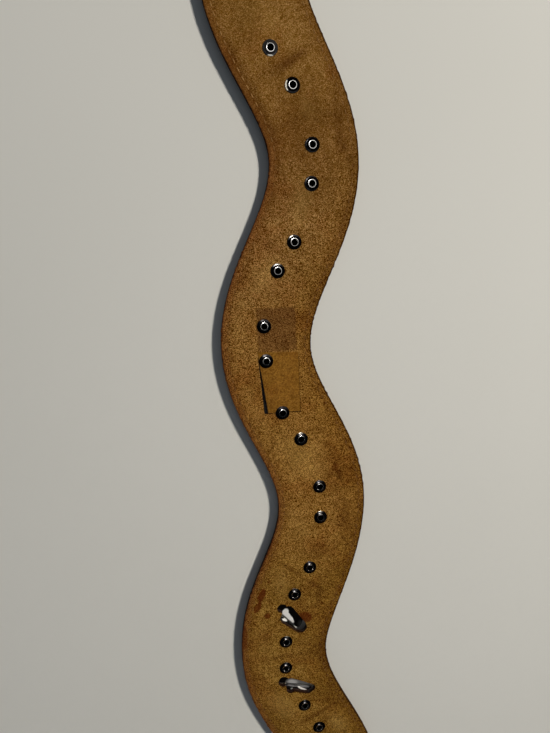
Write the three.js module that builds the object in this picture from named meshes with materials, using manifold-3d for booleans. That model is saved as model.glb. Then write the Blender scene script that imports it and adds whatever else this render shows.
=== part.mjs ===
// A serpentine leather belt, lying flat with its lining up, as it is seen from behind.
// Two leather plies are sewn together. A row of metal plates is riveted to the front ply, which
// faces down. The plates follow the wave of the belt and meet at slanting joints, and each has two
// tubular posts that come up through both plies and through a dished washer. Two slots near the
// tail take the tongue of a plain hook, which is riveted over the belt's other end.
// Millimetres, +Z up, +Y along the belt towards the hook, origin under the middle of its outline.
import * as THREE from "three";
import Module from "manifold-3d";
import { mergeVertices } from "three/addons/utils/BufferGeometryUtils.js";

const wasm = await Module();
wasm.setup();

// Heights of the layers, from the surface that the plates lie on
const PLATE_BACK = 3.4;
const FRONT_PLY = { low: 3.6, high: 5.2 };
const LINING = { low: 5.3, high: 6.7 };
const PATCH_TOP = 6.6;
const WASHER_BASE = 6.8;
const POST_TOP = 7.75;

// The wave of the belt's centre line: its turns to the left and right, from the hook to the tail.
// Under the hook it runs straight.
const TURNS = [
  { y: 455.4, x: 11.8 },
  { y: 363.0, x: 11.8 },
  { y: 270.6, x: -16.7 },
  { y: 178.2, x: 11.8 },
  { y: 85.8, x: -17.6 },
  { y: -3.7, x: 11.0 },
  { y: -97.9, x: -18.1 },
  { y: -188.8, x: 9.8 },
  { y: -283.7, x: -15.7 },
  { y: -387.3, x: 17.8 },
  { y: -479.5, x: -16.7 },
];
// How the belt's width changes along it
const WIDTHS = [
  { y: 400.0, width: 50.0 },
  { y: 90.5, width: 50.4 },
  { y: -4.5, width: 46.9 },
  { y: -99.5, width: 48.3 },
  { y: -194.5, width: 50.5 },
  { y: -249.5, width: 53.3 },
  { y: -289.5, width: 50.8 },
  { y: -349.5, width: 49.7 },
  { y: -400.0, width: 50.0 },
];
const HEAD_Y = 388.5; // where the leather ends inside the hook
const HEAD_CORNER = 6;
const TAIL_Y = -384.7; // middle of the round tail
const TAIL_STEPS = 9;
const STATION_STEP = 13.77;

// Pairs of posts, one pair for each plate: the pair's middle, and how far its line leans
// from the belt's length, in degrees. Rows without x follow the centre line.
const PAIRS = [
  { y: 363.0, lean: 0 },
  { y: 316.8 },
  { y: 270.6 },
  { y: 224.4 },
  { y: 178.2 },
  { y: 132.0 },
  { y: 85.8 },
  { y: 40.4, x: -4.6, lean: 31.5 },
  { y: -5.2, x: 9.2, lean: -2.7 },
  { y: -50.6, x: -6.0, lean: -33.0 },
  { y: -95.7, x: -19.2, lean: 0.9 },
  { y: -142.5, x: -6.4, lean: 31.5 },
  { y: -189.2, x: 8.3, lean: 0.0 },
  { y: -237.4, x: -3.8, lean: -30.7 },
  { y: -284.6, x: -15.4, lean: -2.3 },
  { y: -330.8, x: -0.6, lean: 25.9 },
  { y: -377.5 },
];
const POST_SPACING = 18.8;
const LEAN_GAIN = 1.2; // a pair leans a little more than the centre line does

const POST = { radius: 2.0, bore: 1.5, foot: 2.5, boreFloor: 3.6 };
const POST_HOLE_RADIUS = 2.5;
const WASHER = { inner: 2.15, outer: 3.85, crest: 3.05, height: 0.85 };
const ROUND_SIDES = 10;
const POST_SIDES = 8;
const HOLE_SIDES = 6;

// A joint between two plates: its slant to the belt's width, how far it lies below the middle of
// the posts beside it, its open gap, and how far it runs to the left and right of that middle
const JOINT = { slant: -33, drop: 0.7, gap: 0.8, left: 7, right: 12.5 };
const END_JOINT_REACH = 17; // from a pair's middle to the free end of the first or last plate
const PLATE = { halfWidth: 11.5, rounding: 3.5, cornerSteps: 2, bevelWidth: 1.3, bevelHeight: 1.1 };
// Each plate's upper end has a ball and a rod soldered along its joint
const BALL = { radius: 1.75, sides: 8, rings: 4, along: -0.6, below: 2.4 };
const ROD = { radius: 1.1, sides: 6, from: 1.2, to: 10.5, below: 1.9 };

// Round punches that the two slots were cut with: one lobe on its own, and three round a body
const SLOTS = [
  {
    lobe: { x: -16.7, y: -253.5, radius: 2.5 },
    body: [
      { x: -12.2, y: -255.8, radius: 3.0 },
      { x: -14.0, y: -260.8, radius: 3.6 },
      { x: -5.4, y: -267.7, radius: 3.7 },
    ],
  },
  {
    lobe: { x: -17.2, y: -303.3, radius: 3.4 },
    body: [
      { x: -13.2, y: -305.3, radius: 3.3 },
      { x: -12.0, y: -308.9, radius: 3.2 },
      { x: -0.7, y: -310.4, radius: 2.9 },
    ],
  },
];
const PUNCH_STEPS = 4;

// Both plies are made in lengths that meet between posts, so that each slot lies in a short one
const FRONT_LENGTHS = [
  { name: "front_leather", from: -237.4, to: 400 },
  { name: "front_leather_slot_one", from: -284.6, to: -237.4 },
  { name: "front_leather_slot_two", from: -330.8, to: -284.6 },
  { name: "front_leather_tail", from: -420, to: -330.8 },
];
const LINING_LENGTHS = [
  { name: "back_lining_head", from: 85.8, to: 400 },
  { name: "back_lining", from: -237.4, to: 85.8 },
  { name: "back_lining_slot_one", from: -284.6, to: -237.4 },
  { name: "back_lining_slot_two", from: -330.8, to: -284.6 },
  { name: "back_lining_tail", from: -420, to: -330.8 },
];
const LENGTH_GAP = 0.1;

// Corners of the window in the lining, and of the patch let into it, which leaves a wedge open
const WINDOW = [[-23.3, -100.2], [-21.0, -134.5], [-0.7, -134.9], [-1.0, -101.5]];
const PATCH = [[-23.0, -100.5], [-18.9, -134.3], [-1.0, -134.6], [-1.3, -101.8]];

// The hook: a strip on the back of the first pair of posts, bent over the belt's end to the front
const HOOK = { width: 14, thickness: 1.6, foot: 16, reach: 42.25, tongue: 11, postHole: 2.2 };
const HOOK_BEND_STEPS = 6;

const LEATHER = new THREE.MeshStandardMaterial({ color: 0x5a3418, roughness: 0.7 });
const SUEDE = new THREE.MeshStandardMaterial({ color: 0x8a6233, roughness: 0.95 });
const SMOOTH_LEATHER = new THREE.MeshStandardMaterial({ color: 0x8f6430, roughness: 0.8 });
const GUNMETAL = new THREE.MeshStandardMaterial({ color: 0x4c4a48, roughness: 0.25, metalness: 1 });
const SILVER = new THREE.MeshStandardMaterial({ color: 0xb5b1a8, roughness: 0.2, metalness: 1 });

const { degToRad, lerp, clamp } = THREE.MathUtils;

function solidOf(geometry) {
  const bare = geometry.clone();
  bare.deleteAttribute("normal");
  bare.deleteAttribute("uv");
  const merged = mergeVertices(bare, 1e-4);
  return new wasm.Manifold(
    new wasm.Mesh({
      numProp: 3,
      vertProperties: merged.getAttribute("position").array,
      triVerts: new Uint32Array(merged.getIndex().array),
    }),
  );
}

function geometryOf(solid) {
  const mesh = solid.getMesh();
  const geometry = new THREE.BufferGeometry();
  geometry.setAttribute("position", new THREE.BufferAttribute(mesh.vertProperties, 3));
  geometry.setIndex(new THREE.BufferAttribute(mesh.triVerts, 1));
  geometry.computeVertexNormals();
  return geometry;
}

function join(solids) {
  return solids.reduce((whole, solid) => whole.add(solid));
}

function cut(body, cutters) {
  return cutters.reduce((left, cutter) => left.subtract(cutter), body);
}

function slab(points, low, high) {
  const geometry = new THREE.ExtrudeGeometry(new THREE.Shape(points), {
    depth: high - low,
    bevelEnabled: false,
  });
  return geometry.translate(0, 0, low);
}

// A solid of revolution round Z from pairs of radius and height
function turned(profile, sides) {
  const points = profile.map(([radius, height]) => new THREE.Vector2(radius, height));
  return new THREE.LatheGeometry(points, sides).rotateX(Math.PI / 2);
}

function corners(rows) {
  return rows.map(([x, y]) => new THREE.Vector2(x, y));
}

function arcPoints(centre, radius, fromAngle, toAngle, steps) {
  return Array.from({ length: steps + 1 }, (_, step) => {
    const angle = lerp(fromAngle, toAngle, step / steps);
    return new THREE.Vector2(radius * Math.cos(angle), radius * Math.sin(angle)).add(centre);
  });
}

// A value that swings smoothly from row to row of a table, which runs from high y to low
function swing(rows, y, key) {
  const below = clamp(rows.findIndex((row) => row.y <= y), 1, rows.length - 1);
  const [from, to] = [rows[below - 1], rows[below]];
  const share = clamp((from.y - y) / (from.y - to.y), 0, 1);
  return lerp(from[key], to[key], (1 - Math.cos(Math.PI * share)) / 2);
}

function centreX(y) {
  return swing(TURNS, y, "x");
}

function centreSlope(y) {
  return centreX(y + 0.5) - centreX(y - 0.5);
}

function beltWidth(y) {
  return swing(WIDTHS, y, "width");
}

// A place in the belt's plane, turned from the X axis, and a point beside it
function pointFrom({ x, y, turn }, along, up) {
  return new THREE.Vector2(along, up).rotateAround(new THREE.Vector2(), turn).add({ x, y });
}

function centrePlace(y) {
  return { x: centreX(y), y, turn: -Math.atan(centreSlope(y)) };
}

function beltEdge(y, side) {
  return pointFrom(centrePlace(y), (side * beltWidth(y)) / 2, 0);
}

function beltOutline() {
  const stations = [];
  const lastStation = HEAD_Y - HEAD_CORNER - 2;
  for (let y = TAIL_Y + STATION_STEP; y < lastStation; y += STATION_STEP) stations.push(y);
  const head = centrePlace(HEAD_Y);
  const tail = centrePlace(TAIL_Y);
  const headSide = beltWidth(HEAD_Y) / 2 - HEAD_CORNER;
  const quarter = Math.PI / 2;
  const corner = (side, from) =>
    arcPoints(
      pointFrom(head, side * headSide, -HEAD_CORNER),
      HEAD_CORNER,
      head.turn + from,
      head.turn + from + quarter,
      3,
    );
  return [
    ...arcPoints(tail, beltWidth(TAIL_Y) / 2, tail.turn - 2 * quarter, tail.turn, TAIL_STEPS),
    ...stations.map((y) => beltEdge(y, 1)),
    ...corner(1, 0),
    ...corner(-1, quarter),
    ...stations.reverse().map((y) => beltEdge(y, -1)),
  ];
}

function pairPlace({ y, x = centreX(y), lean }) {
  const turn = lean === undefined ? centrePlace(y).turn * LEAN_GAIN : degToRad(lean);
  return { x, y, turn };
}

// The centres of a pair's two posts, the one nearer to the hook first
function postCentres(pair) {
  const place = pairPlace(pair);
  return [1, -1].map((side) => {
    const { x, y } = pointFrom(place, 0, (side * POST_SPACING) / 2);
    return { x, y, turn: place.turn };
  });
}

// The joint between the plates of two pairs, or the free end of the first or last plate
function jointPlace(upper, lower) {
  const slant = degToRad(JOINT.slant);
  if (!upper || !lower) {
    const place = pairPlace(upper ?? lower);
    const { x, y } = pointFrom(place, 0, upper ? -END_JOINT_REACH : END_JOINT_REACH);
    return { x, y, turn: place.turn + slant };
  }
  const above = postCentres(upper)[1];
  const below = postCentres(lower)[0];
  return {
    x: (above.x + below.x) / 2,
    y: (above.y + below.y) / 2,
    turn: (above.turn + below.turn) / 2 + slant,
  };
}

function placed(geometry, { x, y, turn }) {
  return geometry.clone().rotateZ(turn).translate(x, y, 0);
}

function postHoles(low, high) {
  const profile = [[0, low], [POST_HOLE_RADIUS, low], [POST_HOLE_RADIUS, high], [0, high]];
  const hole = turned(profile, HOLE_SIDES);
  return PAIRS.flatMap(postCentres).map((centre) => solidOf(placed(hole, centre)));
}

// An outline with straight sides round discs, which are listed against the clock
function outlineRound(discs) {
  return discs.flatMap((disc, index) => {
    const before = discs[(index + discs.length - 1) % discs.length];
    const after = discs[(index + 1) % discs.length];
    const from = Math.atan2(disc.y - before.y, disc.x - before.x) - Math.PI / 2;
    const to = Math.atan2(after.y - disc.y, after.x - disc.x) - Math.PI / 2;
    const end = to < from ? to + 2 * Math.PI : to;
    return arcPoints(disc, disc.radius, from, end, PUNCH_STEPS);
  });
}

function slotCut({ lobe, body }, low, high) {
  const profile = [[0, low], [lobe.radius, low], [lobe.radius, high], [0, high]];
  return join([
    solidOf(slab(outlineRound(body), low, high)),
    solidOf(turned(profile, ROUND_SIDES).translate(lobe.x, lobe.y, 0)),
  ]);
}

// One ply of the strap, with the holes of the posts and the slots cut through it, in its lengths
function plyLengths(lengths, { low, high }, otherCuts, material) {
  const whole = cut(solidOf(slab(beltOutline(), low, high)), [
    ...postHoles(low - 1, high + 1),
    ...SLOTS.map((slot) => slotCut(slot, low - 1, high + 1)),
    ...otherCuts,
  ]);
  return lengths.map(({ name, from, to }) => {
    const upperEnd = LENGTH_GAP / 2 - to;
    const lowerEnd = LENGTH_GAP / 2 + from;
    const leather = whole.trimByPlane([0, -1, 0], upperEnd).trimByPlane([0, 1, 0], lowerEnd);
    return piece(name, geometryOf(leather), material);
  });
}

function patch() {
  const leather = solidOf(slab(corners(PATCH), LINING.low, PATCH_TOP));
  return geometryOf(cut(leather, postHoles(LINING.low - 1, LINING.high + 1)));
}

// A plate's outline: corners on its two joints, rounded off, and points on the sides of a
// narrower belt between them
function plateOutline(pair, head, tail) {
  const edge = (y, side) => ({ point: pointFrom(centrePlace(y), side * PLATE.halfWidth, 0) });
  const half = JOINT.gap / 2;
  const onJoint = (joint, along, side) => ({
    point: pointFrom(joint, along, side * half - JOINT.drop),
    rounded: true,
  });
  return [
    onJoint(head, BALL.along - 1, -1),
    edge(pair.y + 8, -1),
    edge(pair.y - 4, -1),
    onJoint(tail, -JOINT.left, 1),
    onJoint(tail, JOINT.right, 1),
    edge(pair.y - 10, 1),
    edge(pair.y + 4, 1),
    onJoint(head, JOINT.right, -1),
  ];
}

// A closed shape through the points of an outline, with arcs at the corners that are rounded
function roundedShape(outline) {
  const steps = outline.flatMap(({ point, rounded }, index) => {
    if (!rounded) return [point];
    const before = outline.at(index - 1).point;
    const after = outline[(index + 1) % outline.length].point;
    const towards = (other) => point.clone().lerp(other, PLATE.rounding / point.distanceTo(other));
    const bend = new THREE.QuadraticBezierCurve(towards(before), point, towards(after));
    return bend.getPoints(PLATE.cornerSteps);
  });
  return new THREE.Shape(steps);
}

// A tube that stands on a plate, its bore closed at the bottom
function post(y, top) {
  const tube = turned(
    [
      [0, POST.foot],
      [POST.radius, POST.foot],
      [POST.radius, top],
      [POST.bore, top],
      [POST.bore, POST.boreFloor],
      [0, POST.boreFloor],
    ],
    POST_SIDES,
  );
  return solidOf(tube.translate(0, y, 0));
}

// A plate in its pair's own frame, where the posts stand on the Y axis
function plate(index) {
  const pair = PAIRS[index];
  const place = pairPlace(pair);
  const head = jointPlace(PAIRS[index - 1], pair);
  const tail = jointPlace(pair, PAIRS[index + 1]);
  const body = new THREE.ExtrudeGeometry(roundedShape(plateOutline(pair, head, tail)), {
    depth: PLATE_BACK - 2 * PLATE.bevelHeight,
    bevelThickness: PLATE.bevelHeight,
    bevelSize: PLATE.bevelWidth,
    bevelOffset: -PLATE.bevelWidth,
    bevelSegments: 1,
  });
  body.translate(-place.x, -place.y, PLATE.bevelHeight).rotateZ(-place.turn);
  const headMiddle = new THREE.Vector2(head.x - place.x, head.y - place.y);
  const { x, y } = headMiddle.rotateAround(new THREE.Vector2(), -place.turn);
  const headInside = { x, y, turn: head.turn - place.turn };
  const ball = new THREE.SphereGeometry(BALL.radius, BALL.sides, BALL.rings)
    .rotateX(Math.PI / 2)
    .translate(BALL.along, -BALL.below, BALL.radius);
  const rod = new THREE.CylinderGeometry(ROD.radius, ROD.radius, ROD.to - ROD.from, ROD.sides)
    .rotateZ(Math.PI / 2)
    .translate((ROD.from + ROD.to) / 2, -ROD.below, PLATE_BACK - ROD.radius);
  const postTop = index === 0 ? HOOK_STRIP.high : POST_TOP;
  return geometryOf(
    join([
      solidOf(body),
      solidOf(placed(ball, headInside)),
      solidOf(placed(rod, headInside)),
      post(POST_SPACING / 2, postTop),
      post(-POST_SPACING / 2, postTop),
    ]),
  );
}

const HOOK_STRIP = { low: WASHER_BASE, high: WASHER_BASE + HOOK.thickness };

// The hook's strip seen from its side, bent down and back under the belt's end
function hookSide() {
  const { low, high } = HOOK_STRIP;
  const outer = high / 2;
  const inner = outer - HOOK.thickness;
  const quarter = Math.PI / 2;
  const side = new THREE.Shape();
  side.moveTo(-HOOK.foot, high);
  side.lineTo(-HOOK.foot, low);
  side.lineTo(HOOK.reach, low);
  side.absarc(HOOK.reach, outer, inner, quarter, -quarter, true);
  side.lineTo(HOOK.reach - HOOK.tongue, HOOK.thickness);
  side.lineTo(HOOK.reach - HOOK.tongue, 0);
  side.lineTo(HOOK.reach, 0);
  side.absarc(HOOK.reach, outer, outer, -quarter, quarter, false);
  return side;
}

function hookClasp() {
  const strip = new THREE.ExtrudeGeometry(hookSide(), {
    depth: HOOK.width,
    bevelEnabled: false,
    curveSegments: HOOK_BEND_STEPS,
  });
  strip.translate(0, 0, -HOOK.width / 2);
  // The side view's length becomes Y and its height becomes Z
  const stand = new THREE.Matrix4().makeBasis(
    new THREE.Vector3(0, 1, 0),
    new THREE.Vector3(0, 0, 1),
    new THREE.Vector3(1, 0, 0),
  );
  const { low, high } = HOOK_STRIP;
  const profile = [[0, low - 1], [HOOK.postHole, low - 1], [HOOK.postHole, high + 1], [0, high + 1]];
  const holes = [1, -1].map((side) =>
    solidOf(turned(profile, ROUND_SIDES).translate(0, (side * POST_SPACING) / 2, 0)),
  );
  return geometryOf(cut(solidOf(strip.applyMatrix4(stand)), holes));
}

// A dished ring that the end of a post is set in
function washer() {
  return turned(
    [
      [WASHER.inner, WASHER_BASE],
      [WASHER.outer, WASHER_BASE],
      [WASHER.crest, WASHER_BASE + WASHER.height],
      [WASHER.inner, WASHER_BASE],
    ],
    ROUND_SIDES,
  );
}

function piece(name, geometry, material) {
  const mesh = new THREE.Mesh(geometry, material);
  mesh.name = name;
  return mesh;
}

// What sits on one pair of posts: the plate below, and two washers or the hook above
function fitting(pair, index) {
  const { x, y, turn } = pairPlace(pair);
  const number = String(index + 1).padStart(2, "0");
  const group = new THREE.Group();
  group.position.set(x, y, 0);
  group.rotation.z = turn;
  group.add(piece(`plate_${number}`, plate(index), SILVER));
  if (index === 0) {
    group.add(piece("hook_clasp", hookClasp(), SILVER));
    return group;
  }
  for (const [end, side] of [["upper", 1], ["lower", -1]]) {
    const ring = piece(`washer_${number}_${end}`, washer(), GUNMETAL);
    ring.position.y = (side * POST_SPACING) / 2;
    group.add(ring);
  }
  return group;
}

const windowCut = solidOf(slab(corners(WINDOW), LINING.low - 1, LINING.high + 1));

const belt = new THREE.Group();
belt.add(...plyLengths(FRONT_LENGTHS, FRONT_PLY, [], LEATHER));
belt.add(...plyLengths(LINING_LENGTHS, LINING, [windowCut], SUEDE));
belt.add(piece("lining_patch", patch(), SMOOTH_LEATHER));
belt.add(...PAIRS.map(fitting));

export default belt;
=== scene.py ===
# The looks of a serpentine leather belt, lying with its suede lining up, round the part's solids.
# Shapes are modelled in millimetres in the part's own frame, and a finished piece is in metres.
import math
import random

import bmesh
import bpy
from mathutils import Matrix, Vector, kdtree, noise


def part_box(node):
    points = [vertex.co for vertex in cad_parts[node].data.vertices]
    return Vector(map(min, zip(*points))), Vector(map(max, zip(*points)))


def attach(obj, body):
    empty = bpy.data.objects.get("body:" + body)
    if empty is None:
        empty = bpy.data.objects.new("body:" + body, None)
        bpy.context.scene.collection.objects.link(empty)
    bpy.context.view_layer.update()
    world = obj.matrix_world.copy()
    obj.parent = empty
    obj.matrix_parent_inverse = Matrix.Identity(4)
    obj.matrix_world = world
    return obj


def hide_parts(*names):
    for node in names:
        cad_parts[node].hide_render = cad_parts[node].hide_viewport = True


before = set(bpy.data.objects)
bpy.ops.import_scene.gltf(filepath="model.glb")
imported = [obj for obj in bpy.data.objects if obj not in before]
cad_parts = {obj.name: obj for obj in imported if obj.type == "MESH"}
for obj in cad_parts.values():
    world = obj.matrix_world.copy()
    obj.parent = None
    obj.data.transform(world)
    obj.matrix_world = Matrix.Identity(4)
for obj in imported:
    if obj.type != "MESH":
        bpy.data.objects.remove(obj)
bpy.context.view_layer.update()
scene = bpy.context.scene

MM = 0.001
UP = Vector((0, 0, 1))
# Without a seed, noise vectors start from the clock and the slots' rims differ from run to run
noise.seed_set(1)

# Heights of the layers, from the surface that the plates lie on
PLATE_BACK = 3.4
FRONT_LOW = 3.6
FRONT_HIGH = 5.2
LINING_LOW = 5.3
LINING_HIGH = 6.7
PATCH_TOP = 6.66
WASHER_BASE = 6.8
POST_TOP = 7.9

# The wave of the belt's centre line: its turns to the left and right, rows of y and x
TURNS = [
    (455.4, 11.8), (363.0, 11.8), (270.6, -16.7), (178.2, 11.8), (85.8, -17.6), (-3.7, 11.0),
    (-97.9, -18.1), (-188.8, 9.8), (-283.7, -15.7), (-387.3, 17.8), (-479.5, -16.7),
]
# How the belt's width changes along it, rows of y and width
WIDTHS = [
    (400.0, 50.0), (90.5, 50.4), (-4.5, 46.9), (-99.5, 48.3), (-194.5, 50.5), (-249.5, 53.3),
    (-289.5, 50.8), (-349.5, 49.7), (-400.0, 50.0),
]
# The square end and its rounded corners, and where the round tail starts
HEAD_Y = 388.5
HEAD_CORNER = 6.0
HEAD_START = HEAD_Y - HEAD_CORNER
TAIL_Y = -384.7

# The strap's mesh: distances of its outer columns from the edge, and the steps further in
EDGE_COLUMNS = [0.0, 0.25, 0.6, 1.1, 1.8, 2.5, 2.95, 3.35, 3.75, 4.2, 5.0]
EDGE_WIDTH = EDGE_COLUMNS[-1]
COLUMN_STEP = 1.7
ROW_STEP = 1.1
TAIL_ROWS = 20
CORNER_ROWS = 8
# Where the strap is this much narrower than at y 0, its columns are all squeezed alike
SQUEEZE_FROM = 8.0
EDGE_ROUNDING = 0.4
# How far, how quickly and how deep the lining's edge frays, and what sets its sides apart
FRAY = {"reach": 0.5, "length": 1.9, "depth": 1.3, "side": 9.0}
UNDULATION = {"height": 0.1, "length": 18.0}

# Sewing along the whole outline: its groove, its stitches and how many degrees they slant
SEAM = {"inset": 3.35, "pitch": 4.4, "groove": 0.07, "groove_width": 0.5, "hole": 0.2, "hole_width": 0.6}
THREAD = {"half_length": 1.35, "radius": 0.29, "sunk": 0.06, "slant": 4}
STITCH_BATCH = 20
SEAM_STEPS = {"corner": 6, "tail": 60}

# Heights between which cutters pass through the front ply, and through the lining
FRONT_CUT = (3.0, 6.0)
LINING_CUT = (5.0, 7.5)

POST_HOLE_RADIUS = 2.5
POST_SPACING = 18.8
POST_SHIFT = Vector((0.35, -0.15, 0))
# Posts set less evenly, by plate and end, with what is added to the shift
POST_SLIPS = {
    (7, 0): (-0.45, 0.3),
    (7, 1): (0.15, -0.35),
    (9, 0): (-0.55, -0.75),
    (9, 1): (0.35, 0.7),
    (14, 0): (0.05, -0.75),
    (14, 1): (0.0, 0.4),
    (15, 0): (-0.4, 0.5),
}
FIRST_PAIR = (11.8, 363.0)

# Round punches that the two slots were cut with, rows of x, y and radius: a lobe, then a body
SLOTS = [
    [
        [(-16.1, -253.9, 2.9)],
        [(-12.3, -255.9, 3.1), (-14.0, -260.8, 3.5), (-5.4, -267.8, 3.8)],
    ],
    [
        [(-17.1, -303.3, 3.4)],
        [(-12.8, -309.3, 2.8)],
        [(-13.0, -305.0, 3.4), (-12.3, -307.6, 3.3), (-2.6, -311.7, 2.5), (0.1, -310.4, 2.2)],
    ],
]
SLOT_RAGGED = {"reach": 0.22, "scale": 0.9}

# Corners of the window in the lining and of the patch let into it, and how round its rims are
WINDOW = [(-23.3, -100.2), (-21.0, -134.5), (-0.7, -134.9), (-1.0, -101.5)]
PATCH_RIM = 0.25
PATCH = [(-23.3, -100.2), (-18.9, -134.3), (-0.95, -134.5), (-1.1, -101.5)]

# Joints between plates: their slant in degrees, their gap and how far right they reach
JOINT = {"slant": -33.0, "gap": 0.8, "right": 12.5}
# A joint's drop below its middle and its lean, how far left the plates above and below it
# reach, and the places of its ball and rope: the usual, and at the slots
JOINT_FIT = {"drop": 2.0, "lean": 0.0, "above": 8.5, "below": 0.4, "ball": (0.6, -4.2), "rope": -2.5}
SLOT_JOINT_FITS = {
    14: {"drop": 3.4, "lean": 0.0, "above": 12.5, "below": 3.5, "ball": (1.7, -5.3), "rope": -3.9},
    15: {"drop": 1.6, "lean": 6.0, "above": 12.5, "below": 9.0, "ball": (0.0, -4.4), "rope": -1.8},
}
# From the middle of the first and the last plate to its outer end
END_JOINT_REACH = 17.0
PLATE = {
    "half_width": 11.5, "rounding": 3.5, "bevel": 1.15, "border": 1.2,
    "mitre": 0.7, "recess": 0.35, "slope": 0.4,
}
# Where a plate's sides follow the wave, up the belt from its middle
PLATE_LEFT = (8, 4, 0, -4)
PLATE_RIGHT = (-10, -5, 0, 4)
BALL_RADIUS = 1.7
BALL_LIFT = 0.08
ROPE = {
    "radius": 1.2, "lobe": 0.22, "from": 3.0, "to": 10.8,
    "lift": 0.15, "lean": -10.0, "turns": 3.5, "steps": 36,
}

HOOK = {
    "width": 14.0, "thickness": 1.6, "foot": 16.0, "reach": 42.25, "tongue": 11.0,
    "hole": 2.2, "corner": 3.0, "rim": 0.35, "bend_steps": 14,
}
HOOK_LOW = WASHER_BASE
HOOK_HIGH = WASHER_BASE + HOOK["thickness"]
HOOK_POST_TOP = HOOK_HIGH + 0.12

# The washer's section, rows of radius and height above its base
WASHER_SECTION = [
    (2.16, 0.02), (2.2, 0.8), (2.29, 0.86), (2.36, 0.82), (2.46, 0.74), (2.6, 0.645), (2.8, 0.535),
    (2.95, 0.47), (3.2, 0.388), (3.5, 0.32), (3.7, 0.286), (3.81, 0.22), (3.84, 0.1), (3.8, 0.0),
]
# The post's rolled end and its bore, rows of radius and depth below its top
POST_SECTION = [
    (2.0, 0.75), (2.08, 0.46), (2.2, 0.3), (2.22, 0.18), (2.16, 0.05), (2.05, 0.0), (1.79, 0.0),
    (1.67, 0.13), (1.6, 0.4), (1.5, 1.2),
]
POST_FOOT = 2.5
BORE_FLOOR = 4.2


def swing(rows, y):
    """A value that swings smoothly from row to row of a table, which runs from high y to low."""
    for (high, first), (low, second) in zip(rows, rows[1:]):
        if y >= low:
            share = min(max((high - y) / (high - low), 0.0), 1.0)
            return first + (second - first) * (1 - math.cos(math.pi * share)) / 2
    return rows[-1][1]


def strap_place(y):
    """The strap's middle at y, its directions across and along, and its half width there."""
    inner = min(max(y, TAIL_Y), HEAD_START)
    slope = swing(TURNS, inner + 0.5) - swing(TURNS, inner - 0.5)
    across = Vector((1, -slope, 0)).normalized()
    along = Vector((slope, 1, 0)).normalized()
    half = swing(WIDTHS, inner) / 2
    past = y - inner
    if past < 0:
        half = math.sqrt(max(half * half - past * past, 0.0))
    elif past > 0:
        half += math.sqrt(max(HEAD_CORNER**2 - past**2, 0.0)) - HEAD_CORNER
    middle = Vector((swing(TURNS, inner), inner, 0)) + along * past
    return middle, across, along, half


def strap_station(point):
    """The y of the cross section that a point of the strap lies on, and how far across it is."""
    y = point.y
    for _ in range(3):
        middle, across, along, _half = strap_place(y)
        y += (point - middle).dot(along)
    middle, across, along, _half = strap_place(y)
    return y, (point - middle).dot(across)


def edge_distance(y, across, side):
    """How far a place on the strap lies inside its left (-1) or right (1) edge."""
    if y < TAIL_Y:
        radius = swing(WIDTHS, TAIL_Y) / 2
        from_middle = math.hypot(across, TAIL_Y - y)
        return radius - from_middle if across * side > 0 else radius + from_middle
    full = swing(WIDTHS, min(y, HEAD_START)) / 2
    from_side = full - across * side
    from_end = HEAD_Y - y
    if max(from_side, from_end) < HEAD_CORNER:
        return HEAD_CORNER - math.hypot(HEAD_CORNER - from_side, HEAD_CORNER - from_end)
    return min(from_side, from_end)


def turned_matrix(point, turn):
    return Matrix.Translation(point) @ Matrix.Rotation(turn, 4, "Z")


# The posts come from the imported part: two for each plate, the one nearer to the hook first
ENDS = ("upper", "lower")


def box_middle(node):
    low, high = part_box(node)
    middle = (Vector(low) + Vector(high)) / (2 * MM)
    return Vector((middle.x, middle.y, 0))


def post_pairs():
    x, y = FIRST_PAIR
    half = POST_SPACING / 2
    pairs = [[Vector((x, y + half, 0)), Vector((x, y - half, 0))]]
    number = 2
    while f"washer_{number:02d}_upper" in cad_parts:
        pairs.append([box_middle(f"washer_{number:02d}_{end}") + POST_SHIFT for end in ENDS])
        number += 1
    for (index, end), slip in POST_SLIPS.items():
        pairs[index][end] += Vector((*slip, 0))
    return pairs


POSTS = post_pairs()


def pair_turn(pair):
    line = pair[0] - pair[1]
    return math.atan2(-line.x, line.y)


def joint_matrix(index):
    """The joint at the upper end of a plate, whose X axis runs along it to the right."""
    slant = math.radians(JOINT["slant"])
    if 0 < index < len(POSTS):
        above = POSTS[index - 1]
        below = POSTS[index]
        middle = (above[1] + below[0]) / 2
        return turned_matrix(middle, (pair_turn(above) + pair_turn(below)) / 2 + slant)
    pair = POSTS[min(index, len(POSTS) - 1)]
    reach = END_JOINT_REACH if index == 0 else -END_JOINT_REACH
    middle = turned_matrix((pair[0] + pair[1]) / 2, pair_turn(pair)) @ Vector((0, reach, 0))
    return turned_matrix(middle, pair_turn(pair) + slant)


# Mesh tools
def outward(bm):
    bmesh.ops.recalc_face_normals(bm, faces=bm.faces)
    return bm


def merged(bm, distance=1e-4):
    bmesh.ops.remove_doubles(bm, verts=bm.verts, dist=distance)
    return outward(bm)


def moved(bm, matrix):
    bmesh.ops.transform(bm, matrix=matrix, verts=bm.verts)
    return bm


def face_of(points):
    """A bmesh holding one face with these corners."""
    bm = bmesh.new()
    for point in points:
        bm.verts.new(point)
    bmesh.ops.contextual_create(bm, geom=bm.verts)
    return bm


def doubled(bm):
    """A flat shape closed by a second set of its faces, and the points of that set."""
    region = bmesh.ops.extrude_face_region(bm, geom=bm.faces[:], use_keep_orig=True)
    return [item for item in region["geom"] if isinstance(item, bmesh.types.BMVert)]


def raised(bm, height, direction=UP):
    """A flat face made a closed slab, so far in a direction."""
    bmesh.ops.translate(bm, vec=direction * height, verts=doubled(bm))
    return outward(bm)


def slab(corners, low, high):
    return raised(face_of([(x, y, low) for x, y in corners]), high - low)


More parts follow.
